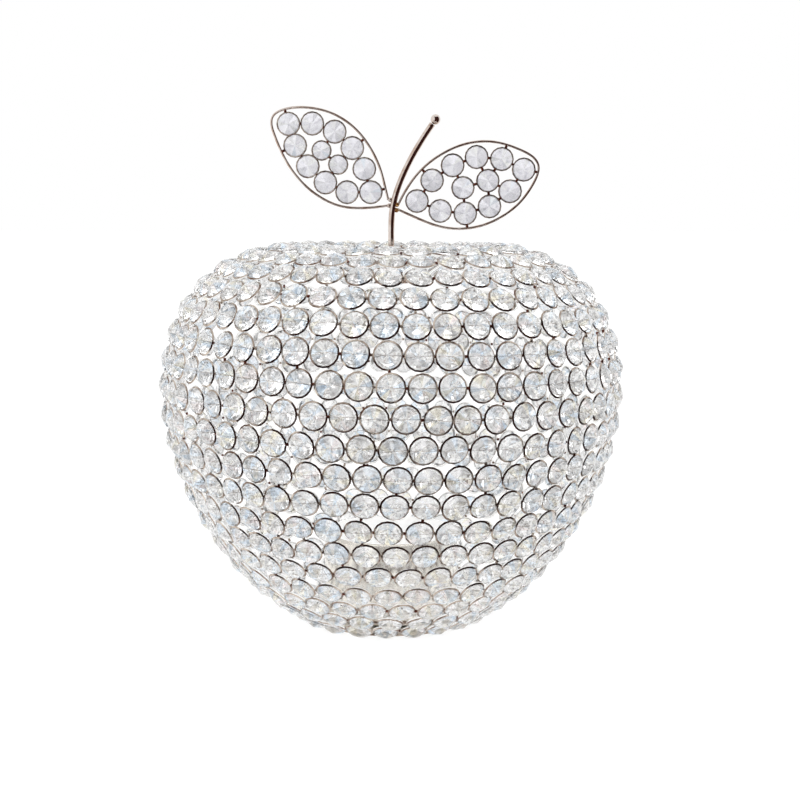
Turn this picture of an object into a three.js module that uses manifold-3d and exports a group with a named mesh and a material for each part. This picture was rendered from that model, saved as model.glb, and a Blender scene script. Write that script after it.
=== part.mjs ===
// Apple sculpture: a hollow apple whose wall is rows of crystals set in soldered wire rings,
// standing on a foot plate, with a bent wire stem and two wire leaves.
// Millimetres, +Z up. The origin is on the table under the middle of the apple,
// the front faces -Y and the leaves spread along X.
import * as THREE from 'three';
import { mergeVertices } from 'three/addons/utils/BufferGeometryUtils.js';
import Module from 'manifold-3d';

// Wall of the apple, as its middle surface: radius and height at places going up.
const FOOT = { radius: 42.8, height: 0.9 };
const HEEL = { radius: 71.4, height: 21.6 };
const LOWER_FLANK = { radius: 94, height: 50.7 };
const FLANK = { radius: 109.6, height: 85.2 };
const WIDEST = { radius: 116, height: 122.4 };
const UPPER_FLANK = { radius: 108.2, height: 159 };
const SHOULDER = { radius: 86.8, height: 183 };
const CREST = { radius: 56, height: 193 };
const DIMPLE_SLOPE = { radius: 32, height: 187.1 };
const DIMPLE = { radius: 17, height: 176.6 };

// Crystals and rings of the wall.
const ROW_PITCH = 14;
const CELL_PITCH = 13.9;
const CRYSTAL_FRONT = 3.4;
const CRYSTAL_BACK = 3.8;
const CRYSTAL_SIDE_HEIGHT = 6.4;
const CRYSTAL_SIDE_DEPTH = 1.2;
const RING_WIRE_RADIUS = 0.6;
const RING_ROW_STEPS = 40;
const RING_ROW_SIDES = 3;

// What is soldered together keeps this gap.
const SOLDER_GAP = 0.3;

// Foot plate and the polished drum that stands on it.
const FOOT_PLATE_THICKNESS = 2.5;
const DRUM_RADIUS = 35;
const DRUM_HEIGHT = 42.5;
const ROUND_STEPS = 40;

// Stem: a plated rod fixed in a plate at the bottom of the dimple, bent to the right, with a ball on its tip.
const CROWN_PLATE_THICKNESS = 2;
const STEM_RADIUS = 1.6;
const STEM_END_BELOW_PLATE = 2;
const STEM_BEND_ABOVE_CREST = 13;
const STEM_TIP_ABOVE_CREST = 62.4;
const STEM_LEAN = 20.8;
const STEM_BOW_SHARE = 0.4;
const STEM_STEPS = 14;
const STEM_SIDES = 8;
const BALL_RADIUS = 2.6;
const BALL_STEPS = 12;

// Leaves: a wire outline with both ends on the stem, filled with rings.
const LEAF_ABOVE_CREST = 22.2;
const LEAF_WIRE_RADIUS = 0.62;
const LEAF_WIRE_STEPS = 34;
const LEAF_WIRE_SAMPLES = 240;
const LEAF_WIRE_SIDES = 6;
const LEAF_RING_RADIUS = 6.1;
const LEAF_RING_WIRE_RADIUS = 0.5;
const LEAF_RING_CLEARANCE = 1;
const LEAF_RING_STEPS = 9;
const LEAF_EDGE_RINGS = 10;
const LEAF_CRYSTAL_DEPTH = 3.6;
const LEAF_CRYSTAL_SIDES = 9;
const SOLDER_LINK_RADIUS = 0.3;
const SOLDER_LINK_REACH = 3;
const PIN_RADIUS = 0.4;
const THIN_SIDES = 4;
const MERGE_DISTANCE = 1e-4;
const PROFILE_SAMPLES = 600;

// The two leaves. An outline goes from the upper wire end to the lower one: away from the stem, then up.
const LEFT_LEAF = {
  side: -1,
  outline: [
    [8.1, 21.9], [19, 37.9], [33.4, 46.7], [52.4, 48.4], [62, 43.9],
    [59.6, 33], [51.5, 17], [40.6, 5.8], [27.1, -1], [12.7, -1.8],
  ],
  upperEnd: 2.3,
  lowerEnd: -0.6,
  innerRingRadius: 5.2,
  innerPitch: 11,
  innerShift: 0,
};
const RIGHT_LEAF = {
  side: 1,
  outline: [
    [5.1, 4.9], [12.6, 15.7], [22, 23.7], [34.3, 29.8], [46.5, 31.8], [58.6, 29.8], [74.4, 20.6],
    [68.1, 4.9], [58.6, -4.4], [46.5, -10.5], [34.3, -12.5], [23.4, -11.2], [11.1, -6.5],
  ],
  upperEnd: -0.4,
  lowerEnd: -2.6,
  innerRingRadius: 6,
  innerPitch: 13.2,
  innerShift: 2.4,
};

const wasm = await Module();
wasm.setup();

const crystalGlass = new THREE.MeshStandardMaterial({ color: 0xe6e9ee, roughness: 0.05, metalness: 0 });
const ringNickel = new THREE.MeshStandardMaterial({ color: 0x8f8984, roughness: 0.22, metalness: 1 });
const stemChrome = new THREE.MeshStandardMaterial({ color: 0xb9b6b4, roughness: 0.12, metalness: 1 });
const drumSteel = new THREE.MeshStandardMaterial({ color: 0xb4a28c, roughness: 0.1, metalness: 1 });

const apple = new THREE.Group();

function addPiece(name, geometry, material) {
  const piece = new THREE.Mesh(geometry, material);
  piece.name = name;
  apple.add(piece);
  return piece;
}

function rowName(stem, row) {
  return `${stem}_${String(row).padStart(2, '0')}`;
}

// Joins closed geometries into one solid.
function joined(geometries) {
  const solids = geometries.map((geometry) => {
    const bare = new THREE.BufferGeometry();
    bare.setAttribute('position', geometry.getAttribute('position'));
    bare.setIndex(geometry.getIndex());
    const merged = mergeVertices(bare, MERGE_DISTANCE);
    return new wasm.Manifold(new wasm.Mesh({
      numProp: 3,
      vertProperties: new Float32Array(merged.getAttribute('position').array),
      triVerts: new Uint32Array(merged.getIndex().array),
    }));
  });
  const mesh = solids.reduce((whole, solid) => whole.add(solid)).getMesh();
  const geometry = new THREE.BufferGeometry();
  geometry.setAttribute('position', new THREE.BufferAttribute(mesh.vertProperties, 3));
  geometry.setIndex(new THREE.BufferAttribute(mesh.triVerts, 1));
  return geometry;
}

// A solid of revolution about Z from a closed outline of radius and height, listed counterclockwise.
function revolved(outline, steps) {
  return new THREE.LatheGeometry([...outline, outline[0]], steps).rotateX(Math.PI / 2);
}

function disc(radius, bottom, height) {
  return new THREE.CylinderGeometry(radius, radius, height, ROUND_STEPS)
    .rotateX(Math.PI / 2)
    .translate(0, 0, bottom + height / 2);
}

function roundSection(radius, sides) {
  const corners = [];
  for (let side = 0; side < sides; side += 1) {
    const angle = (2 * Math.PI * side) / sides;
    corners.push(new THREE.Vector2(radius * Math.cos(angle), radius * Math.sin(angle)));
  }
  return new THREE.Shape(corners);
}

// A straight round bar between two places.
function bar(from, to, radius) {
  const length = from.distanceTo(to);
  const turn = new THREE.Quaternion().setFromUnitVectors(
    new THREE.Vector3(0, 1, 0),
    to.clone().sub(from).normalize(),
  );
  const middle = from.clone().add(to).multiplyScalar(0.5);
  return new THREE.CylinderGeometry(radius, radius, length, THIN_SIDES)
    .applyQuaternion(turn)
    .translate(middle.x, middle.y, middle.z);
}

// The wall's profile, with the rows spread evenly along it.
const profile = new THREE.SplineCurve(
  [FOOT, HEEL, LOWER_FLANK, FLANK, WIDEST, UPPER_FLANK, SHOULDER, CREST, DIMPLE_SLOPE, DIMPLE]
    .map((place) => new THREE.Vector2(place.radius, place.height)),
);
profile.arcLengthDivisions = PROFILE_SAMPLES;
const rowCount = Math.round(profile.getLength() / ROW_PITCH);
const rowStep = profile.getLength() / rowCount;

// A station on the wall: its place, the direction up along the wall and the direction out of it.
function wallStation(share) {
  const middle = profile.getPointAt(share);
  const up = profile.getTangentAt(share);
  const out = new THREE.Vector2(up.y, -up.x);
  return { middle, up, out };
}

function onProfile(station, along, outward) {
  return station.middle.clone()
    .addScaledVector(station.up, along)
    .addScaledVector(station.out, outward);
}

function aroundAxis(place, angle) {
  return [place.x * Math.cos(angle), place.x * Math.sin(angle), place.y];
}

// Corners that each cell of a crystal row adds, in order: three on the side that it shares with the next
// cell, then four in the middle of the cell.
const SIDE_CORNERS = ['sideTop', 'sideBottom', 'sideBack'];
const MIDDLE_CORNERS = ['top', 'bottom', 'front', 'back'];
const CELL_CORNERS = [...SIDE_CORNERS, ...MIDDLE_CORNERS];

// One row of crystals. Each is a six-sided double pyramid that meets its neighbours on upright sides,
// with one pyramid's point outward and the other's inward. The row starts a share of a cell round the axis.
function crystalRow(station, startShare) {
  const cells = Math.round((2 * Math.PI * station.middle.x) / CELL_PITCH);
  const halfHeight = rowStep / 2 - RING_WIRE_RADIUS - SOLDER_GAP;
  const corners = {
    sideTop: onProfile(station, CRYSTAL_SIDE_HEIGHT / 2, CRYSTAL_SIDE_DEPTH / 2),
    sideBottom: onProfile(station, -CRYSTAL_SIDE_HEIGHT / 2, CRYSTAL_SIDE_DEPTH / 2),
    sideBack: onProfile(station, 0, -CRYSTAL_SIDE_DEPTH / 2),
    top: onProfile(station, halfHeight, 0),
    bottom: onProfile(station, -halfHeight, 0),
    front: onProfile(station, 0, CRYSTAL_FRONT),
    back: onProfile(station, 0, -CRYSTAL_BACK),
  };
  const cornerOf = (cell, name) => (cell % cells) * CELL_CORNERS.length + CELL_CORNERS.indexOf(name);
  const positions = [];
  const triangles = [];
  for (let cell = 0; cell < cells; cell += 1) {
    const middleAngle = (2 * Math.PI * (cell + startShare)) / cells;
    const sideAngle = middleAngle + Math.PI / cells;
    for (const name of CELL_CORNERS) {
      const angle = SIDE_CORNERS.includes(name) ? sideAngle : middleAngle;
      positions.push(...aroundAxis(corners[name], angle));
    }
    const own = (name) => cornerOf(cell, name);
    const left = (name) => cornerOf(cell + cells - 1, name);
    const frontRim = [
      own('top'), left('sideTop'), left('sideBottom'), own('bottom'), own('sideBottom'), own('sideTop'),
    ];
    const backRim = [
      own('top'), own('sideTop'), own('sideBack'), own('sideBottom'),
      own('bottom'), left('sideBottom'), left('sideBack'), left('sideTop'),
    ];
    for (const [point, rim] of [[own('front'), frontRim], [own('back'), backRim]]) {
      rim.forEach((corner, place) => triangles.push(point, corner, rim[(place + 1) % rim.length]));
    }
  }
  const geometry = new THREE.BufferGeometry();
  geometry.setAttribute('position', new THREE.Float32BufferAttribute(positions, 3));
  geometry.setIndex(triangles);
  return geometry;
}

// The wire along the edge of a row, where the rings of two rows are soldered together.
function ringRow(station) {
  const outline = [];
  for (let side = 0; side < RING_ROW_SIDES; side += 1) {
    const angle = (-2 * Math.PI * side) / RING_ROW_SIDES;
    outline.push(onProfile(station, RING_WIRE_RADIUS * Math.sin(angle), RING_WIRE_RADIUS * Math.cos(angle)));
  }
  return revolved(outline.reverse(), RING_ROW_STEPS);
}

// The least radius of a ring made of straight steps.
function acrossFlats(radius, steps) {
  return radius * Math.cos(Math.PI / steps);
}

// Foot.
const footRim = wallStation(0);
const footPlateRadius = acrossFlats(footRim.middle.x - RING_WIRE_RADIUS, RING_ROW_STEPS) - SOLDER_GAP;
addPiece('foot_plate', disc(footPlateRadius, 0, FOOT_PLATE_THICKNESS), stemChrome);
addPiece('base_drum', disc(DRUM_RADIUS, FOOT_PLATE_THICKNESS + SOLDER_GAP, DRUM_HEIGHT), drumSteel);
addPiece('foot_rim', ringRow(footRim), ringNickel);

// Wall, from the foot up, over the crest and down into the dimple.
for (let row = 1; row <= rowCount; row += 1) {
  const middle = wallStation((row - 0.5) / rowCount);
  const startShare = row % 2 ? 0.5 : 0;
  addPiece(rowName('crystal_row', row), crystalRow(middle, startShare), crystalGlass);
  addPiece(rowName('ring_row', row), ringRow(wallStation(row / rowCount)), ringNickel);
}

// Plate at the bottom of the dimple, with the hole for the stem.
const crownRim = wallStation(1).middle;
const crownInner = (STEM_RADIUS + SOLDER_GAP) / acrossFlats(1, RING_ROW_STEPS);
const crownOuter = acrossFlats(crownRim.x - RING_WIRE_RADIUS, RING_ROW_STEPS) - SOLDER_GAP;
const crownBottom = crownRim.y - CROWN_PLATE_THICKNESS / 2;
const crownTop = crownBottom + CROWN_PLATE_THICKNESS;
addPiece('crown_plate', revolved([
  new THREE.Vector2(crownInner, crownBottom),
  new THREE.Vector2(crownOuter, crownBottom),
  new THREE.Vector2(crownOuter, crownTop),
  new THREE.Vector2(crownInner, crownTop),
], RING_ROW_STEPS), stemChrome);

// Stem: straight out of the dimple, then one bend toward the tip.
const stemStart = new THREE.Vector3(0, 0, crownBottom - STEM_END_BELOW_PLATE);
const stemBend = new THREE.Vector3(0, 0, CREST.height + STEM_BEND_ABOVE_CREST);
const stemTip = new THREE.Vector3(STEM_LEAN, 0, CREST.height + STEM_TIP_ABOVE_CREST);
const stemStraight = new THREE.LineCurve3(stemStart, stemBend);
const stemKnee = new THREE.Vector3(0, 0, THREE.MathUtils.lerp(stemBend.z, stemTip.z, STEM_BOW_SHARE));
const stemBow = new THREE.QuadraticBezierCurve3(stemBend, stemKnee, stemTip);
const stemPath = new THREE.CurvePath();
stemPath.add(stemStraight);
stemPath.add(stemBow);
addPiece('stem_rod', new THREE.ExtrudeGeometry(roundSection(STEM_RADIUS, STEM_SIDES), {
  steps: STEM_STEPS,
  bevelEnabled: false,
  extrudePath: stemPath,
}), stemChrome);

const ballPlace = stemTip.clone().addScaledVector(stemPath.getTangentAt(1), BALL_RADIUS + SOLDER_GAP);
addPiece('stem_ball', new THREE.SphereGeometry(BALL_RADIUS, BALL_STEPS, BALL_STEPS / 2)
  .rotateX(Math.PI / 2)
  .translate(ballPlace.x, ballPlace.y, ballPlace.z), stemChrome);

// Where the leaves leave the stem: the sampled place on it that is nearest to the leaves' height.
const leafHeight = CREST.height + LEAF_ABOVE_CREST;
const leafRoot = stemPath.getSpacedPoints(PROFILE_SAMPLES).reduce((best, place) => (
  Math.abs(place.z - leafHeight) < Math.abs(best.z - leafHeight) ? place : best
));

// The leaf's wire: from its upper end on the stem, round the tip and back to its lower end.
function leafWire(leaf) {
  const besideStem = STEM_RADIUS + SOLDER_GAP + LEAF_WIRE_RADIUS;
  const onStem = [[besideStem, leaf.upperEnd], ...leaf.outline, [besideStem, leaf.lowerEnd]];
  return new THREE.CatmullRomCurve3(
    onStem.map(([away, up]) => new THREE.Vector3(leafRoot.x + leaf.side * away, 0, leafRoot.z + up)),
  );
}

// Middles of the rings along the wire: even places on the curve that keeps one ring's radius, the wire's
// and a clearance inside the wire.
function edgeRingPlaces(wire, side) {
  const inset = LEAF_WIRE_RADIUS + LEAF_RING_CLEARANCE + LEAF_RING_RADIUS;
  const nearest = inset - LEAF_WIRE_RADIUS / 10;
  const samples = wire.getSpacedPoints(LEAF_WIRE_SAMPLES);
  const insideCurve = [];
  samples.forEach((place, step) => {
    const ahead = wire.getTangentAt(step / LEAF_WIRE_SAMPLES);
    const inside = new THREE.Vector3(-ahead.z, 0, ahead.x).multiplyScalar(side * -inset).add(place);
    if (samples.every((other) => other.distanceTo(inside) > nearest)) {
      insideCurve.push(inside);
    }
  });
  const loop = new THREE.CatmullRomCurve3(insideCurve, true);
  return loop.getSpacedPoints(LEAF_EDGE_RINGS).slice(0, LEAF_EDGE_RINGS);
}

// Middles of the two rings inside: either side of the leaf's centre, along the line from stem to tip.
function innerRingPlaces(edgePlaces, leaf) {
  const centre = edgePlaces
    .reduce((sum, place) => sum.add(place), new THREE.Vector3())
    .divideScalar(edgePlaces.length);
  const alongLeaf = centre.clone().sub(edgePlaces[0]).normalize();
  return [-leaf.innerPitch / 2, leaf.innerPitch / 2]
    .map((along) => centre.clone().addScaledVector(alongLeaf, leaf.innerShift + along));
}

function leafRing(place, radius) {
  return new THREE.TorusGeometry(radius - LEAF_RING_WIRE_RADIUS, LEAF_RING_WIRE_RADIUS, 4, LEAF_RING_STEPS)
    .rotateX(Math.PI / 2)
    .translate(place.x, place.y, place.z);
}

// Solder links between the rings that lie close together, from wire middle to wire middle.
function solderLinks(rings) {
  const links = [];
  rings.forEach((ring, first) => {
    for (const other of rings.slice(first + 1)) {
      const between = other.place.clone().sub(ring.place);
      const gap = between.length() - ring.radius - other.radius;
      if (gap < SOLDER_LINK_REACH) {
        const ahead = between.normalize();
        const from = ring.place.clone().addScaledVector(ahead, ring.radius - LEAF_RING_WIRE_RADIUS);
        const to = other.place.clone().addScaledVector(ahead, LEAF_RING_WIRE_RADIUS - other.radius);
        links.push(bar(from, to, SOLDER_LINK_RADIUS));
      }
    }
  });
  return links;
}

// Solder tabs that hold the edge rings on the leaf's wire, each toward the nearest place on it.
function wireTabs(edgeRings, wire) {
  const samples = wire.getSpacedPoints(LEAF_WIRE_SAMPLES);
  return edgeRings.map(({ place, radius }) => {
    const nearest = samples.reduce((best, sample) => (
      sample.distanceTo(place) < best.distanceTo(place) ? sample : best
    ));
    const outward = nearest.clone().sub(place).normalize();
    const from = place.clone().addScaledVector(outward, radius - LEAF_RING_WIRE_RADIUS);
    const to = nearest.clone().addScaledVector(outward, -(LEAF_WIRE_RADIUS + SOLDER_GAP));
    return bar(from, to, SOLDER_LINK_RADIUS);
  });
}

// Crystals of a leaf, strung on pin wire that runs behind the rings.
function crystalStrand(rings) {
  const pinDepth = LEAF_RING_WIRE_RADIUS + SOLDER_GAP + PIN_RADIUS;
  const pieces = rings.map(({ place, radius }) => {
    const crystalRadius = acrossFlats(radius - 2 * LEAF_RING_WIRE_RADIUS, LEAF_RING_STEPS) - SOLDER_GAP;
    return new THREE.SphereGeometry(crystalRadius, LEAF_CRYSTAL_SIDES, 2)
      .scale(1, LEAF_CRYSTAL_DEPTH / crystalRadius, 1)
      .translate(place.x, place.y, place.z);
  });
  for (let step = 1; step < rings.length; step += 1) {
    const from = rings[step - 1].place.clone().setY(pinDepth);
    const to = rings[step].place.clone().setY(pinDepth);
    pieces.push(bar(from, to, PIN_RADIUS));
  }
  return joined(pieces);
}

function addLeaf(name, leaf) {
  const wire = leafWire(leaf);
  const edgePlaces = edgeRingPlaces(wire, leaf.side);
  const edgeRings = edgePlaces.map((place) => ({ place, radius: LEAF_RING_RADIUS }));
  const innerRings = innerRingPlaces(edgePlaces, leaf)
    .map((place) => ({ place, radius: leaf.innerRingRadius }));
  const rings = [...edgeRings, ...innerRings];
  addPiece(`${name}_leaf_frame`, new THREE.ExtrudeGeometry(roundSection(LEAF_WIRE_RADIUS, LEAF_WIRE_SIDES), {
    steps: LEAF_WIRE_STEPS,
    bevelEnabled: false,
    extrudePath: wire,
  }), stemChrome);
  const ringWires = rings.map(({ place, radius }) => leafRing(place, radius));
  const solder = [...solderLinks(rings), ...wireTabs(edgeRings, wire)];
  addPiece(`${name}_leaf_rings`, joined([...ringWires, ...solder]), ringNickel);
  addPiece(`${name}_leaf_edge_crystals`, crystalStrand(edgeRings), crystalGlass);
  addPiece(`${name}_leaf_inner_crystals`, crystalStrand(innerRings), crystalGlass);
}

addLeaf('left', LEFT_LEAF);
addLeaf('right', RIGHT_LEAF);

export default apple;
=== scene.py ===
import math
import random

import bmesh
import bpy
from mathutils import Euler, Matrix, Vector
from mathutils.bvhtree import BVHTree


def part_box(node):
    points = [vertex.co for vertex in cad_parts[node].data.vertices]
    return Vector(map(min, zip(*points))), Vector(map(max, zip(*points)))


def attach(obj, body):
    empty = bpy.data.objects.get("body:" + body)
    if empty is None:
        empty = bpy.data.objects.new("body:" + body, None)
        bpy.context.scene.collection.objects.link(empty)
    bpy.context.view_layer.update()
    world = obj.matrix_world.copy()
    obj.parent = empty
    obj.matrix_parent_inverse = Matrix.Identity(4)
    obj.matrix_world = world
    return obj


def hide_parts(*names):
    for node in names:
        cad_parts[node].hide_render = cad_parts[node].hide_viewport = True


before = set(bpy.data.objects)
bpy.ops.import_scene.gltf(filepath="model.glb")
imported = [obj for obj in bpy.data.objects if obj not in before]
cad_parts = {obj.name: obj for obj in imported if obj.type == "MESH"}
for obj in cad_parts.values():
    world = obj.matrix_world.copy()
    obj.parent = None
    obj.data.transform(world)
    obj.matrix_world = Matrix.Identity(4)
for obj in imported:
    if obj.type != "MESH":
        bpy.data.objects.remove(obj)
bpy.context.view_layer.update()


# Foot plate: a round nickel plated steel plate that the apple stands on.
# It is stamped flat, and the lowest wire rim is soldered round its edge.
class Value:
    """A shader socket that can stand in a sum."""

    def __init__(self, tree, socket):
        self.tree = tree
        self.socket = socket

    def combine(self, operation, first, second):
        """Adds one step of a sum."""
        made = self.tree.nodes.new("ShaderNodeMath")
        made.operation = operation
        plug(self.tree, made.inputs[0], first)
        plug(self.tree, made.inputs[1], second)
        return Value(self.tree, made.outputs[0])

    def __add__(self, other):
        return self.combine("ADD", self, other)

    __radd__ = __add__

    def __rsub__(self, other):
        return self.combine("SUBTRACT", other, self)

    def __mul__(self, other):
        return self.combine("MULTIPLY", self, other)

    __rmul__ = __mul__


def plug(tree, socket, value):
    """Links a Value to a socket, or sets the socket's own value."""
    if isinstance(value, Value):
        tree.links.new(value.socket, socket)
    else:
        socket.default_value = value


class Finish:
    """A node tree with one method that adds any node."""

    def __init__(self, tree):
        self.tree = tree

    def node(self, kind, settings=None, inputs=None, output=0):
        """Adds a node with its settings and inputs, and gives one of its outputs."""
        made = self.tree.nodes.new(kind)
        for name, setting in (settings or {}).items():
            if name == "stops":
                ramp = made.color_ramp.elements
                while len(ramp) < len(setting):
                    ramp.new(1.0)
                for element, (place, colour) in zip(ramp, setting):
                    element.position = place
                    element.color = colour
            else:
                setattr(made, name, setting)
        for name, value in (inputs or {}).items():
            plug(self.tree, made.inputs[name], value)
        return Value(self.tree, made.outputs[output])


def new_finish(name, constants):
    """A material with the shader's constant values set, and the finish that adds its nodes."""
    material = bpy.data.materials.new(name)
    material.use_nodes = True
    shader = material.node_tree.nodes["Principled BSDF"]
    for socket, value in constants.items():
        shader.inputs[socket].default_value = value
    return material, Finish(material.node_tree), shader


MIX_FACTOR = 0
MIX_FIRST = 6
MIX_SECOND = 7
MIX_COLOUR = 2


def blend(finish, factor, first, second, kind="MIX"):
    """The first colour at nought, and the second mixed in at one."""
    return finish.node(
        "ShaderNodeMix",
        {"data_type": "RGBA", "blend_type": kind},
        {MIX_FACTOR: factor, MIX_FIRST: first, MIX_SECOND: second},
        output=MIX_COLOUR,
    )


WHITE = (1.0, 1.0, 1.0, 1.0)
POLISHED = {"Metallic": 1.0}
PATCH_EDGES = (0.35, 0.62)
PATCH_DULLING = 0.12
MARKS_PER_PATCH = 9.0
MARK_STRENGTH = 0.08
MARK_DEPTH = 0.0001


# The dark colour is tarnish on most metals, and painted shade on the rings' plate.
def plated_metal(name, bright, tarnish_and_painted_shade, roughness, grain, constants=POLISHED):
    """Bright plate that is duller and darker in soft patches, with fine polishing marks."""
    material, finish, shader = new_finish(name, constants)
    place = finish.node("ShaderNodeTexCoord", output="Object")
    patches = finish.node(
        "ShaderNodeTexNoise",
        inputs={"Vector": place, "Scale": grain, "Detail": 4.0, "Roughness": 0.6},
    )
    colour = finish.node(
        "ShaderNodeValToRGB",
        {"stops": list(zip(PATCH_EDGES, (tarnish_and_painted_shade, bright)))},
        {"Fac": patches},
    )
    marks = finish.node(
        "ShaderNodeTexNoise",
        inputs={"Vector": place, "Scale": grain * MARKS_PER_PATCH, "Detail": 2.0, "Roughness": 0.5},
    )
    bump = finish.node(
        "ShaderNodeBump",
        inputs={"Height": marks, "Strength": MARK_STRENGTH, "Distance": MARK_DEPTH},
    )
    plug(finish.tree, shader.inputs["Base Color"], colour)
    plug(finish.tree, shader.inputs["Roughness"], roughness + PATCH_DULLING * (1.0 - patches))
    plug(finish.tree, shader.inputs["Normal"], bump)
    return material


rod_plate = plated_metal(
    "bright_nickel_rod", (0.72, 0.64, 0.59, 1.0), (0.5, 0.37, 0.3, 1.0), 0.05, 180.0
)


def show_node(node, material):
    """Gives a CAD node that stays its finish."""
    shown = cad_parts[node]
    shown.data.materials.clear()
    shown.data.materials.append(material)


def finished_mesh(name, shape):
    """Turns a bmesh into a mesh and lets the bmesh go."""
    mesh = bpy.data.meshes.new(name)
    shape.to_mesh(mesh)
    shape.free()
    return mesh


def new_object(name, data):
    """Puts a mesh, a lamp or a camera in the scene."""
    made = bpy.data.objects.new(name, data)
    bpy.context.scene.collection.objects.link(made)
    return made


def finish_piece(name, shape, materials, nodes=(), smooth=True):
    """Turns a bmesh into a piece on the apple's body that stands for the given CAD nodes."""
    for face in shape.faces:
        face.smooth = smooth
    mesh = finished_mesh(name, shape)
    for material in materials:
        mesh.materials.append(material)
    piece = new_object(name, mesh)
    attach(piece, "root")
    if nodes:
        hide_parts(*nodes)
    return piece


foot_finish = plated_metal(
    "foot_nickel", (0.82, 0.79, 0.75, 1.0), (0.7, 0.66, 0.6, 1.0), 0.3, 60.0
)
show_node("foot_plate", foot_finish)


# Base drum: the polished metal drum that stands on the foot plate inside the apple.
# Its edges are rolled and its top is tinned, with a painted glow, and it shows between the lowest rows of
# stones.
DRUM_EDGE = 0.0016
DRUM_EDGE_STEPS = 4
DRUM_SIDES = 96
FACING_UP = 0.99
# The tin has a white painted glow, though it is no lamp, which lifts it out of its shade.
TIN_WITH_PAINTED_GLOW = {"Metallic": 0.0, "Emission Color": WHITE, "Emission Strength": 0.25}

drum_finish = plated_metal(
    "polished_drum", (0.93, 0.9, 0.85, 1.0), (0.82, 0.78, 0.71, 1.0), 0.1, 25.0
)
tin_with_painted_glow = plated_metal(
    "matt_tin_painted_glow", (0.95, 0.95, 0.94, 1.0), (0.87, 0.86, 0.84, 1.0), 0.5, 260.0, TIN_WITH_PAINTED_GLOW
)
drum_low, drum_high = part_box("base_drum")
drum = bmesh.new()
bmesh.ops.create_cone(
    drum,
    cap_ends=True,
    segments=DRUM_SIDES,
    radius1=drum_high.x,
    radius2=drum_high.x,
    depth=drum_high.z - drum_low.z,
    matrix=Matrix.Translation((0.0, 0.0, (drum_low.z + drum_high.z) / 2.0)),
)
drum_rims = [edge for edge in drum.edges if abs(edge.verts[0].co.z - edge.verts[1].co.z) < DRUM_EDGE]
bmesh.ops.bevel(
    drum,
    geom=drum_rims,
    offset=DRUM_EDGE,
    offset_type="OFFSET",
    affect="EDGES",
    segments=DRUM_EDGE_STEPS,
    profile=0.5,
    material=-1,
)
# Faces that look up get the tin and its painted glow.
for face in drum.faces:
    face.material_index = int(face.normal.z > FACING_UP)
finish_piece("drum_shell", drum, [drum_finish, tin_with_painted_glow], ["base_drum"])


# Wall of rings: rings bent from a nickel plated strip with a ridged front, side by side in rows.
# A thin pin crosses each ring to carry its stone. The rows are built up by hand from the foot, so they
# slant a little and no two rings sit quite alike. The insides are only tinned, matt and pale, with a
# painted glow.
ROWS = 21
CELL_PITCH = 0.0139
RING_RADIUS = 0.0069
RING_THICKNESS = 0.0009
RING_RIDGE = 0.2
RING_FRONT = 0.0005
RING_BACK = 0.0009
RING_STEPS = 16
LEVEL_EDGE = 0.00005
PIN_RADIUS = 0.00012
PIN_SIDES = 3
ROW_SLANT = 0.2
SLANT_GROWS_OVER = 4.0
ROW_DRIFT = 0.25
TILT = math.radians(5.0)
SHIFT = 0.0003

# In random patches this plate is painted near black: painted shade standing in for the dark arcs that
# shade and reflection give the rings.
ring_nickel_painted_shade = plated_metal(
    "ring_nickel_with_painted_shade", (0.58, 0.51, 0.44, 1.0), (0.14, 0.08, 0.055, 1.0), 0.05, 170.0
)


def hoop_middle(node):
    """Radius and height of a CAD hoop's middle."""
    corners = [corner.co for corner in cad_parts[node].data.vertices]
    radius = sum(math.hypot(corner.x, corner.y) for corner in corners) / len(corners)
    height = sum(corner.z for corner in corners) / len(corners)
    return Vector((radius, height))


hoops = [hoop_middle("foot_rim")]
hoops += [hoop_middle(f"ring_row_{row:02d}") for row in range(1, ROWS + 1)]


def wall_point(rows_up):
    """Radius and height of the wall, counted in rows from the foot."""
    below = min(max(int(rows_up), 0), ROWS - 1)
    return hoops[below].lerp(hoops[below + 1], rows_up - below)


def cell_places(row):
    """A matrix for each cell of a row: X round the apple, Y up the wall and Z out of it."""
    cells = round(2.0 * math.pi * wall_point(row - 0.5).x / CELL_PITCH)
    slant = ROW_SLANT * min(1.0, (row - 1.0) / SLANT_GROWS_OVER)
    hand = random.Random(row)
    start = 0.5 * (row % 2) + hand.uniform(-ROW_DRIFT, ROW_DRIFT)
    places = []
    for cell in range(cells):
        angle = 2.0 * math.pi * (cell + start) / cells
        rows_up = row - 0.5 - slant * math.cos(angle)
        middle = wall_point(rows_up)
        up = (wall_point(rows_up + 0.5) - wall_point(rows_up - 0.5)).normalized()
        spin = Matrix.Rotation(angle, 4, "Z")
        axes = Matrix((
            (0.0, up.x, up.y, middle.x),
            (1.0, 0.0, 0.0, 0.0),
            (0.0, up.y, -up.x, middle.y),
            (0.0, 0.0, 0.0, 1.0),
        ))
        turn = Euler([hand.uniform(-TILT, TILT) for _ in range(3)]).to_matrix().to_4x4()
        shift = Matrix.Translation([hand.uniform(-SHIFT, SHIFT) for _ in range(3)])
        places.append(spin @ axes @ shift @ turn)
    return places


def add_copy(target, template, matrix):
    """Adds a copy of a mesh to a bmesh, at the place that the matrix gives."""
    placed = template.copy()
    placed.transform(matrix)
    target.from_mesh(placed)
    bpy.data.meshes.remove(placed)


def corners_round(shape, away, height, steps):
    """Corners in a circle round Z, or the same corner each time for a place on Z."""
    if away == 0.0:
        return [shape.verts.new((0.0, 0.0, height))] * steps
    spins = [Matrix.Rotation(2.0 * math.pi * step / steps, 3, "Z") for step in range(steps)]
    return [shape.verts.new(spin @ Vector((away, 0.0, height))) for spin in spins]


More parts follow.
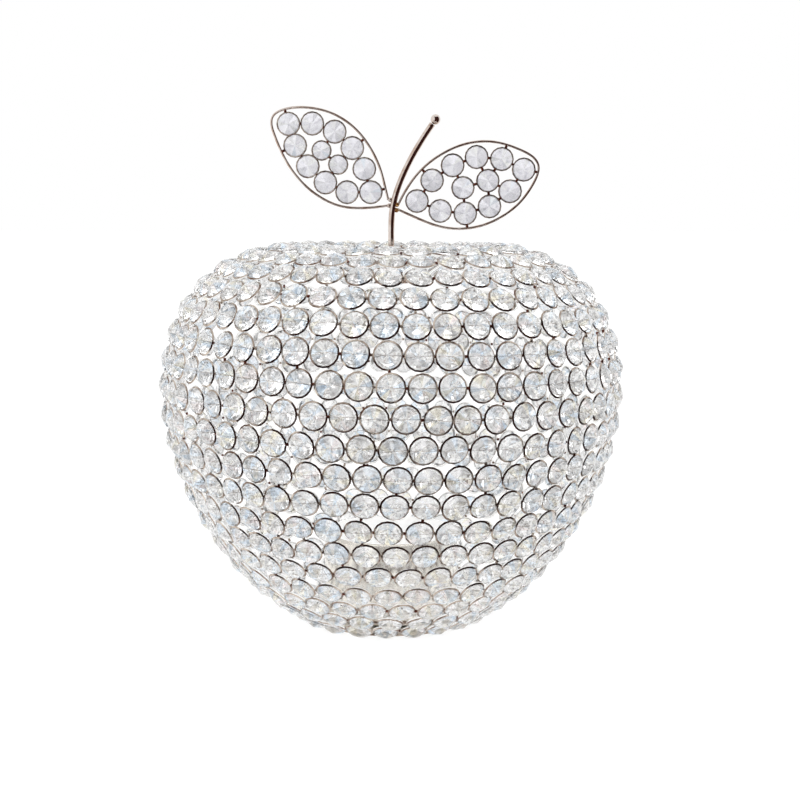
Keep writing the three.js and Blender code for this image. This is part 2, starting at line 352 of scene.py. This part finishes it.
def turned(outline, steps, closed):
    """Turns an outline of radii and heights round Z. The order of its faces is the same each time."""
    shape = bmesh.new()
    circles = [corners_round(shape, away, height, steps) for away, height in outline]
    bands = list(zip(circles, circles[1:]))
    if closed:
        bands.append((circles[-1], circles[0]))
    for step in range(steps):
        following = (step + 1) % steps
        for first, second in bands:
            corners = (first[step], first[following], second[following], second[step])
            shape.faces.new(list(dict.fromkeys(corners)))
    shape.normal_update()
    bmesh.ops.recalc_face_normals(shape, faces=shape.faces)
    return shape


def strip_ring(name, radius, front, back):
    """A ring of strip in the XY plane, with its ridged front along Z and the pin across it along X."""
    inner = radius - RING_THICKNESS
    ridge = inner + RING_RIDGE * RING_THICKNESS
    section = [(inner, front / 2.0), (ridge, front), (radius, 0.0), (inner, -back)]
    ring = turned(section, RING_STEPS, closed=True)
    for edge in ring.edges:
        edge.smooth = abs(edge.verts[0].co.z - edge.verts[1].co.z) > LEVEL_EDGE
    # The insides of the ring get the tin and its painted glow.
    for face in ring.faces:
        in_front = face.normal.z > 0.0 and face.calc_center_median().z > 0.0
        face.material_index = int(not in_front)
    bmesh.ops.create_cone(
        ring,
        segments=PIN_SIDES,
        radius1=PIN_RADIUS,
        radius2=PIN_RADIUS,
        depth=2.0 * inner,
        matrix=Matrix.Rotation(math.pi / 2.0, 4, "Y"),
    )
    return finished_mesh(name, ring)


# The rings' fronts take the plate with its painted shade, and their insides take the tin with its painted
# glow.
ring_plating_and_painted_light = [ring_nickel_painted_shade, tin_with_painted_glow]
wall_places = {row: cell_places(row) for row in range(1, ROWS + 1)}
wall_ring = strip_ring("wall_ring", RING_RADIUS, RING_FRONT, RING_BACK)
for row, places in wall_places.items():
    rings = bmesh.new()
    for place in places:
        add_copy(rings, wall_ring, place)
    finish_piece(f"wall_rings_{row:02d}", rings, ring_plating_and_painted_light, [f"ring_row_{row:02d}"])


# Stones of the wall: clear cut glass, one on the pin of each ring, domed in front and pointed behind.
# Long facets run from the edge to the front point. Each is painted its own shade, for the light it throws,
# some with a painted blue, yellow or rosy glint. The lowest rows are painted whiter, for the table's light
# from below.
STONE_RADIUS = 0.0063
STONE_FRONT = 0.0037
STONE_BACK = 0.0036
STONE_SHOULDER = (0.88, 0.44)
STONE_CROWN = (0.55, 0.74)
STONE_FACETS = 13
WALL_GLASS_CLEARNESS = 0.88
# Facets get painted shades between these, standing in for the light each facet throws.
PAINTED_FACET_SHADES = (0.51, 1.0)
SHADE_SKEW = 2.5
# The lowest rows' darkest facets are painted lighter, standing in for the table's light from below.
PAINTED_TABLE_LIGHT_SHADE = 0.9
PAINTED_TABLE_LIGHT_ROWS = 9
SPECK_SHADE = (0.5, 0.48, 0.46, 1.0)
SPECK_SCALE = 600.0
SPECK_EDGE = 0.35
SPECK_CORE = 0.27
SPECK_ROUGHNESS = 0.04
GLASS_ROUGHNESS = 0.01
GLASS_IOR = 1.5
# Painted glints: faint blue, yellow and rosy tints on some facets, standing in for the colours that cut
# glass throws.
PAINTED_FACET_GLINTS = {
    (1.0, 1.0, 1.0): 78,
    (0.75, 0.87, 1.0): 13,
    (1.0, 0.95, 0.79): 5,
    (1.0, 0.91, 0.9): 4,
}


def cut_glass(name, clearness, speck, scale, edge):
    """Glass tinted by each facet's painted shade and tint, mostly clear and a little milky, with a few
    darker specks.
    """
    material, finish, shader = new_finish(name, {"Transmission Weight": clearness, "IOR": GLASS_IOR})
    place = finish.node("ShaderNodeTexCoord", output="Object")
    cast = finish.node("ShaderNodeAttribute", {"attribute_name": "cast"})
    specks = finish.node(
        "ShaderNodeTexNoise",
        inputs={"Vector": place, "Scale": scale, "Detail": 1.0, "Roughness": 0.5},
    )
    speck_colour = finish.node(
        "ShaderNodeValToRGB",
        {"stops": [(SPECK_CORE, speck), (edge, WHITE)]},
        {"Fac": specks},
    )
    colour = blend(finish, 1.0, cast, speck_colour, "MULTIPLY")
    plug(finish.tree, shader.inputs["Base Color"], colour)
    plug(finish.tree, shader.inputs["Roughness"], GLASS_ROUGHNESS + SPECK_ROUGHNESS * specks)
    return material


def cut_stone(name, radius, front, back):
    """A round stone in the XY plane, with its front point along Z."""
    outline = [(0.0, front)]
    outline += [(radius * away, front * height) for away, height in (STONE_CROWN, STONE_SHOULDER)]
    outline += [(radius, 0.0), (0.0, -back)]
    return finished_mesh(name, turned(outline, STONE_FACETS, closed=False))


def facet_slices(mesh):
    """For each face of a stone, the slice of its front or back that the face is in."""
    slices = []
    for face in mesh.polygons:
        turn = math.atan2(face.center.y, face.center.x) / (2.0 * math.pi)
        slices.append((math.floor(turn * STONE_FACETS) % STONE_FACETS, face.center.z > 0.0))
    return slices


def paint_facet_light(stones, slices, shades, skew, tints_and_glints, hand):
    """Paints each slice of each stone a shade, which stands in for the light its facet throws, and a tint.
    A higher skew makes dark slices rarer.
    """
    darkest, brightest = shades
    layer = stones.loops.layers.float_color.new("cast")
    tints = {}
    for index, face in enumerate(stones.faces):
        stone, part = divmod(index, len(slices))
        key = (stone, slices[part])
        if key not in tints:
            shade = brightest - (brightest - darkest) * hand.random() ** skew
            tint = hand.choices(list(tints_and_glints), list(tints_and_glints.values()))[0]
            tints[key] = [shade * channel for channel in tint] + [1.0]
        for corner in face.loops:
            corner[layer] = tints[key]


stone_glass = cut_glass("clear_cut_glass", WALL_GLASS_CLEARNESS, SPECK_SHADE, SPECK_SCALE, SPECK_EDGE)
wall_stone = cut_stone("wall_stone", STONE_RADIUS, STONE_FRONT, STONE_BACK)
wall_slices = facet_slices(wall_stone)
for row, places in wall_places.items():
    stones = bmesh.new()
    for place in places:
        add_copy(stones, wall_stone, place)
    # Painted table light: the lower the row, the lighter its darkest painted facet shade.
    painted_table_light = max(0.0, 1.0 - row / PAINTED_TABLE_LIGHT_ROWS)
    row_painted_shades = (PAINTED_FACET_SHADES[0] + painted_table_light * (PAINTED_TABLE_LIGHT_SHADE - PAINTED_FACET_SHADES[0]), PAINTED_FACET_SHADES[1])
    paint_facet_light(stones, wall_slices, row_painted_shades, SHADE_SKEW, PAINTED_FACET_GLINTS, random.Random(row))
    cad_row = f"crystal_row_{row:02d}"
    finish_piece(f"wall_stones_{row:02d}", stones, [stone_glass], [cad_row], smooth=False)


# Foot rim: the wire ring that the lowest row stands on, soldered round the foot plate.
# It is plated with the rings.
RIM_STEPS = 96
RIM_SIDES = 8
RIM_WIRE = 0.0005


def wire_loop(radius, height, wire, sides, steps):
    """A loop of round wire round Z, at the given height."""
    angles = [2.0 * math.pi * side / sides for side in range(sides)]
    section = [(radius - wire * math.sin(angle), height + wire * math.cos(angle)) for angle in angles]
    return turned(section, steps, closed=True)


rim_radius, rim_height = hoops[0]
rim = wire_loop(rim_radius, rim_height, RIM_WIRE, RIM_SIDES, RIM_STEPS)
# The rim takes the rings' plate, with its painted shade.
finish_piece("foot_wire", rim, [ring_nickel_painted_shade], ["foot_rim"])


# Solder points: short drops of solder between neighbouring rings, along a row and here and there up to the
# next row. Where the flux burnt they are nearly black and reddish, and elsewhere they are plated over.
SOLDER_RADIUS = 0.0007
SOLDER_SIDES = 6
SOLDER_REACH = 0.0148
SOLDER_BITE = 0.00045
UPWARD_SHARE = 0.4
BURNT_SHARE = 0.5

solder_finish = plated_metal(
    "solder_points", (0.2, 0.06, 0.035, 1.0), (0.05, 0.012, 0.009, 1.0), 0.25, 500.0
)


def solder_drop():
    """A drop one metre long along Z, which is stretched to fit between two rings."""
    drop = bmesh.new()
    bmesh.ops.create_cone(
        drop, cap_ends=True, segments=SOLDER_SIDES, radius1=SOLDER_RADIUS, radius2=SOLDER_RADIUS, depth=1.0
    )
    return finished_mesh("solder_drop", drop)


def bridge(target, template, first, second, first_radius, second_radius):
    """Adds one drop between the rims of two rings."""
    between = second - first
    length = between.length - first_radius - second_radius + 2.0 * SOLDER_BITE
    start = first + between.normalized() * (first_radius - SOLDER_BITE)
    middle = start + between.normalized() * length / 2.0
    turn = between.to_track_quat("Z", "Y").to_matrix().to_4x4()
    stretch = Matrix.Diagonal((1.0, 1.0, max(length, SOLDER_BITE), 1.0))
    add_copy(target, template, Matrix.Translation(middle) @ turn @ stretch)


def nearest_place(place, others):
    """The nearest of the other places."""
    return min(others, key=lambda other: (other - place).length)


drop_mesh = solder_drop()
burnt_drops = bmesh.new()
plated_drops = bmesh.new()
torch = random.Random("solder")
wall_middles = {row: [place.translation for place in places] for row, places in wall_places.items()}
for row, middles in wall_middles.items():
    joints = list(zip(middles, middles[1:] + middles[:1]))
    if row < ROWS:
        held = [first for first in middles if torch.random() < UPWARD_SHARE]
        joints += [(first, nearest_place(first, wall_middles[row + 1])) for first in held]
    for first, second in joints:
        drops = burnt_drops if torch.random() < BURNT_SHARE else plated_drops
        if (second - first).length < SOLDER_REACH:
            bridge(drops, drop_mesh, first, second, RING_RADIUS, RING_RADIUS)
finish_piece("burnt_solder", burnt_drops, [solder_finish])
# Plated drops take the rings' plate, with its painted shade.
finish_piece("plated_solder", plated_drops, [ring_nickel_painted_shade])


# Crown plate: a small plated washer at the bottom of the dimple, which holds the foot of the stem.
# It is hidden from the front by the crest of the apple.
show_node("crown_plate", rod_plate)


# Stem: a bright nickel rod, bent once, with its foot in the crown plate and a ball on its tip.
# Both are polished and plated together.
FLAT_END_ANGLE = math.radians(75.0)
MERGE_REACH = 1e-6
JOINED_TILT = math.radians(20.0)
JOINED_SHAPE = math.radians(40.0)
SMOOTH_LEVELS = 2
STEM_SWELL = 0.00017
BALL_SWELL = 0.00012


def smoothed_node(name, node, material, swell):
    """A smooth copy of a faceted CAD wire with flat ends, swelled to keep its thickness when smoothed."""
    wire = bmesh.new()
    wire.from_mesh(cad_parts[node].data)
    bmesh.ops.remove_doubles(wire, verts=wire.verts, dist=MERGE_REACH)
    bmesh.ops.join_triangles(
        wire,
        faces=wire.faces,
        angle_face_threshold=JOINED_TILT,
        angle_shape_threshold=JOINED_SHAPE,
    )
    wire.normal_update()
    for corner in wire.verts:
        corner.co += corner.normal * swell
    kept_sharp = wire.edges.layers.float.new("crease_edge")
    for edge in wire.edges:
        edge[kept_sharp] = float(edge.calc_face_angle() > FLAT_END_ANGLE)
    piece = finish_piece(name, wire, [material], [node])
    smoothing = piece.modifiers.new("smooth", "SUBSURF")
    smoothing.levels = SMOOTH_LEVELS
    smoothing.render_levels = SMOOTH_LEVELS


smoothed_node("stem", "stem_rod", rod_plate, STEM_SWELL)
smoothed_node("stem_tip_ball", "stem_ball", rod_plate, BALL_SWELL)


# Leaf outlines: bent wire, plated with the stem, with both ends brazed on it.
# Each outline carries the rings of its leaf. Heat has turned the right leaf's joints golden brown.
LEAF_WIRE_SWELL = 0.00018
BRAZE_RADIUS = 0.0012
END_REACH = 0.0012
BRAZE_DETAIL = 2
NEAREST_POINT = 0
NEAREST_DISTANCE = 3

braze_finish = plated_metal(
    "brazed_roots", (0.62, 0.36, 0.13, 1.0), (0.26, 0.1, 0.04, 1.0), 0.2, 500.0
)


def node_surface(node):
    """A CAD node's surface, for finding its nearest place."""
    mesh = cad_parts[node].data
    return BVHTree.FromPolygons(
        [corner.co for corner in mesh.vertices], [face.vertices for face in mesh.polygons]
    )


stem_surface = node_surface("stem_rod")
for side, joint_finish in (("left", rod_plate), ("right", braze_finish)):
    smoothed_node(f"{side}_leaf_wire", f"{side}_leaf_frame", rod_plate, LEAF_WIRE_SWELL)
    corners = [corner.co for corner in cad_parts[f"{side}_leaf_frame"].data.vertices]
    ends = [
        corner for corner in corners
        if stem_surface.find_nearest(corner)[NEAREST_DISTANCE] < END_REACH
    ]
    level = sum(corner.z for corner in ends) / len(ends)
    upper_end = [corner for corner in ends if corner.z > level]
    lower_end = [corner for corner in ends if corner.z <= level]
    brazing = bmesh.new()
    for end in (upper_end, lower_end):
        middle = sum(end, Vector()) / len(end)
        on_stem = stem_surface.find_nearest(middle)[NEAREST_POINT]
        bmesh.ops.create_icosphere(
            brazing,
            subdivisions=BRAZE_DETAIL,
            radius=BRAZE_RADIUS,
            matrix=Matrix.Translation(middle.lerp(on_stem, 0.5)),
        )
    finish_piece(f"{side}_leaf_brazing", brazing, [joint_finish])


# Leaf rings and stones: ten rings of round wire along the edge of a leaf and two inside, each with a flat,
# milky stone. They are soldered to each other and, by short tabs, to the leaf's wire.
LEAF_RING = 0.0062
LEAF_INNER_RINGS = {"left": 0.0053, "right": 0.0061}
LEAF_RING_WIRE = 0.00045
LEAF_RING_SIDES = 6
LEAF_STONE_FRONT = 0.0016
LEAF_STONE_BACK = 0.0022
LEAF_SOLDER_REACH = 0.0014
LEAF_GLASS_CLEARNESS = 0.75
# Leaf facets get painted shades between these, standing in for the light each facet throws.
LEAF_PAINTED_FACET_SHADES = (0.68, 1.0)
LEAF_SHADE_SKEW = 1.0
LEAF_SPECK_SHADE = (0.76, 0.76, 0.78, 1.0)
LEAF_SPECK_SCALE = 420.0
LEAF_SPECK_EDGE = 0.44
# The leaf stones' own pale lilac for most facets, and white and blue painted glints for a few.
LEAF_TINT_AND_PAINTED_GLINTS = {
    (0.96, 0.955, 1.0): 84,
    (1.0, 1.0, 1.0): 14,
    (0.84, 0.92, 1.0): 2,
}
LEAF_EDGE_RINGS = 10
FRONT_POINT_SHARE = 0.99
LEAF_TAB_EVERY = 3

leaf_glass = cut_glass(
    "leaf_cut_glass", LEAF_GLASS_CLEARNESS, LEAF_SPECK_SHADE, LEAF_SPECK_SCALE, LEAF_SPECK_EDGE
)
facing_front = Matrix.Rotation(math.pi / 2.0, 4, "X")


def stone_points(node):
    """The places of a leaf's stones, from the front points of the CAD stones."""
    corners = [corner.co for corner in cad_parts[node].data.vertices]
    front = min(corner.y for corner in corners)
    found = []
    for corner in corners:
        place = Vector((corner.x, 0.0, corner.z))
        is_new = all((place - other).length > LEAF_RING for other in found)
        if corner.y < front * FRONT_POINT_SHARE and is_new:
            found.append(place)
    return found


for side in ("left", "right"):
    rings = bmesh.new()
    leaf_drops = bmesh.new()
    leaf_cells = []
    for group, radius in (("edge", LEAF_RING), ("inner", LEAF_INNER_RINGS[side])):
        node = f"{side}_leaf_{group}_crystals"
        stone_radius = radius - LEAF_RING_WIRE
        ring = wire_loop(stone_radius, 0.0, LEAF_RING_WIRE, LEAF_RING_SIDES, RING_STEPS)
        ring_mesh = finished_mesh(f"{side}_{group}_ring", ring)
        stone_mesh = cut_stone(f"{side}_{group}_stone", stone_radius, LEAF_STONE_FRONT, LEAF_STONE_BACK)
        stones = bmesh.new()
        for middle in stone_points(node):
            place = Matrix.Translation(middle) @ facing_front
            add_copy(rings, ring_mesh, place)
            add_copy(stones, stone_mesh, place)
            leaf_cells.append((middle, radius))
        slices = facet_slices(stone_mesh)
        # Each slice of each leaf stone gets a painted shade, and the stone's lilac or a painted glint.
        paint_facet_light(stones, slices, LEAF_PAINTED_FACET_SHADES, LEAF_SHADE_SKEW, LEAF_TINT_AND_PAINTED_GLINTS, random.Random(node))
        finish_piece(
            f"{side}_leaf_{group}_stones", stones, [leaf_glass], [node], smooth=False
        )
    for index, (first, first_radius) in enumerate(leaf_cells):
        for second, second_radius in leaf_cells[index + 1:]:
            if (second - first).length - first_radius - second_radius < LEAF_SOLDER_REACH:
                bridge(leaf_drops, drop_mesh, first, second, first_radius, second_radius)
    leaf_wire = node_surface(f"{side}_leaf_frame")
    for middle, radius in leaf_cells[:LEAF_EDGE_RINGS:LEAF_TAB_EVERY]:
        on_wire = leaf_wire.find_nearest(middle)[NEAREST_POINT]
        bridge(leaf_drops, drop_mesh, middle, on_wire, radius, 0.0)
    # The leaf rings take the rings' plate, with its painted shade.
    finish_piece(f"{side}_leaf_wire_rings", rings, [ring_nickel_painted_shade], [f"{side}_leaf_rings"])
    finish_piece(f"{side}_leaf_solder", leaf_drops, [solder_finish])


# Stage: a plain white floor and a white studio. Polished metal shows the unlit side of the room, in front
# of the apple, as dark, and the ceiling, the backdrop and the table as white. Soft lamps stand above the
# apple and beside it.
FLOOR_SIZE = 12.0
FLOOR_COLOUR = (0.32, 0.32, 0.32, 1.0)
FLOOR_LIFT = 0.84
TABLE_START = 0.1
TABLE_END = 0.17
CEILING_START = 0.75
CEILING_END = 0.95
UNLIT_TOWARD = (0.3, -0.954, 0.0)
UNLIT_START = 0.1
UNLIT_END = 0.35
GLASS_CLEARS = 0.9
ROOM_DARK = (0.04, 0.011, 0.008, 1.0)
ROOM_LIGHT = (0.74, 0.74, 0.74, 1.0)


def fades_in(finish, value, start, end):
    """Nought below the start, one above the end, and smooth between."""
    return finish.node(
        "ShaderNodeMapRange",
        {"interpolation_type": "SMOOTHSTEP"},
        {"Value": value, "From Min": start, "From Max": end},
    )


def in_mirror(finish):
    """One for what polished metal shows, less of it behind glass, and nought for all else."""
    glossy = finish.node("ShaderNodeLightPath", output="Is Glossy Ray")
    reflected = finish.node("ShaderNodeLightPath", output="Is Reflection Ray")
    surfaces = finish.node("ShaderNodeLightPath", output="Transmission Depth")
    behind_glass = finish.node("ShaderNodeMath", {"operation": "MINIMUM"}, {0: surfaces, 1: 1.0})
    return glossy * reflected * (1.0 - GLASS_CLEARS * behind_glass)


def unlit_side(finish, toward):
    """One toward the unlit side of the studio, and nought toward its backdrop."""
    nearness = finish.node(
        "ShaderNodeVectorMath", {"operation": "DOT_PRODUCT"}, {0: toward, 1: UNLIT_TOWARD}, output="Value"
    )
    return fades_in(finish, nearness, UNLIT_START, UNLIT_END)


floor_build = bmesh.new()
bmesh.ops.create_grid(floor_build, x_segments=1, y_segments=1, size=FLOOR_SIZE)
floor_mesh = finished_mesh("floor", floor_build)
floor = new_object("floor", floor_mesh)
floor_material, floor_finish, _ = new_finish("white_floor", {})
floor_place = floor_finish.node("ShaderNodeTexCoord", output="Object")
floor_toward = floor_finish.node("ShaderNodeVectorMath", {"operation": "NORMALIZE"}, {0: floor_place})
floor_unlit = unlit_side(floor_finish, floor_toward)
from_object = floor_finish.node(
    "ShaderNodeVectorMath", {"operation": "LENGTH"}, {0: floor_place}, output="Value"
)
off_table = fades_in(floor_finish, from_object, TABLE_START, TABLE_END)
floor_shade = floor_finish.node("ShaderNodeBsdfDiffuse", inputs={"Color": FLOOR_COLOUR})
floor_lift = floor_finish.node("ShaderNodeEmission", inputs={"Strength": FLOOR_LIFT})
floor_sum = floor_finish.node("ShaderNodeAddShader", inputs={0: floor_shade, 1: floor_lift})
room_floor = floor_finish.node("ShaderNodeEmission", inputs={"Color": ROOM_DARK})
floor_seen = floor_finish.node(
    "ShaderNodeMixShader",
    inputs={0: in_mirror(floor_finish) * off_table * floor_unlit, 1: floor_sum, 2: room_floor},
)
plug(floor_finish.tree, floor_finish.tree.nodes["Material Output"].inputs["Surface"], floor_seen)
floor_mesh.materials.append(floor_material)

world = bpy.data.worlds.new("white_studio")
bpy.context.scene.world = world
world.use_nodes = True
studio = Finish(world.node_tree)
direction = studio.node("ShaderNodeTexCoord", output="Generated")
height = studio.node("ShaderNodeSeparateXYZ", inputs={"Vector": direction}, output="Z")
below_ceiling = 1.0 - fades_in(studio, height, CEILING_START, CEILING_END)
seen_directly = studio.node("ShaderNodeLightPath", output="Is Camera Ray")
seen_reflected = studio.node("ShaderNodeLightPath", output="Is Glossy Ray")
seen_through = studio.node("ShaderNodeLightPath", output="Is Transmission Ray")
backdrop = seen_directly + seen_reflected + seen_through
plain = blend(studio, backdrop, ROOM_LIGHT, WHITE)
unlit = in_mirror(studio) * below_ceiling * unlit_side(studio, direction)
seen = blend(studio, unlit, plain, ROOM_DARK)
plug(studio.tree, studio.tree.nodes["Background"].inputs["Color"], seen)

# A white card in front and to the left of the stem and leaves, which only polished metal shows.
CARD_LEFT = (-0.19, -0.05)
CARD_RIGHT = (-0.055, -0.19)
CARD_BOTTOM = 0.18
CARD_TOP = 0.42

card_build = bmesh.new()
card_build.faces.new([
    card_build.verts.new((*side, height))
    for side, height in (
        (CARD_LEFT, CARD_BOTTOM), (CARD_RIGHT, CARD_BOTTOM), (CARD_RIGHT, CARD_TOP), (CARD_LEFT, CARD_TOP)
    )
])
card_mesh = finished_mesh("reflector_card", card_build)
card_material, card_finish, _ = new_finish("white_card", {})
card_light = card_finish.node("ShaderNodeEmission")
plug(card_finish.tree, card_finish.tree.nodes["Material Output"].inputs["Surface"], card_light)
card_mesh.materials.append(card_material)
card = new_object("reflector_card", card_mesh)
card.visible_camera = False
card.visible_diffuse = False
card.visible_transmission = False
card.visible_shadow = False

# Each lamp has its place, its width in metres and its watts, and shines at the middle of the apple.
LAMP_TARGET = Vector((0.0, 0.0, 0.12))
LAMPS = {
    "top_lamp": ((0.0, -0.2, 1.3), 1.2, 9.0),
    "left_lamp": ((-1.1, -0.7, 0.7), 0.8, 3.5),
    "right_lamp": ((1.2, -0.4, 0.6), 0.4, 1.5),
}
for name, (place, size, watts) in LAMPS.items():
    light = bpy.data.lights.new(name, "AREA")
    light.size = size
    light.energy = watts
    lamp = new_object(name, light)
    lamp.location = place
    lamp.rotation_euler = (LAMP_TARGET - Vector(place)).to_track_quat("-Z", "Y").to_euler()
    lamp.visible_glossy = False

CAMERA_PLACE = (0.0, -0.718, 0.2132)
CAMERA_PITCH = math.radians(7.85)
CAMERA_LENS = 62.6
CAMERA_SENSOR = 36.0
CAMERA_SHIFT = 0.011

camera_data = bpy.data.cameras.new("camera")
camera_data.sensor_width = CAMERA_SENSOR
camera_data.lens = CAMERA_LENS
camera_data.shift_x = CAMERA_SHIFT
camera = new_object("camera", camera_data)
camera.location = CAMERA_PLACE
camera.rotation_euler = (math.pi / 2.0 - CAMERA_PITCH, 0.0, 0.0)
bpy.context.scene.camera = camera
bpy.context.scene.view_settings.view_transform = "Standard"
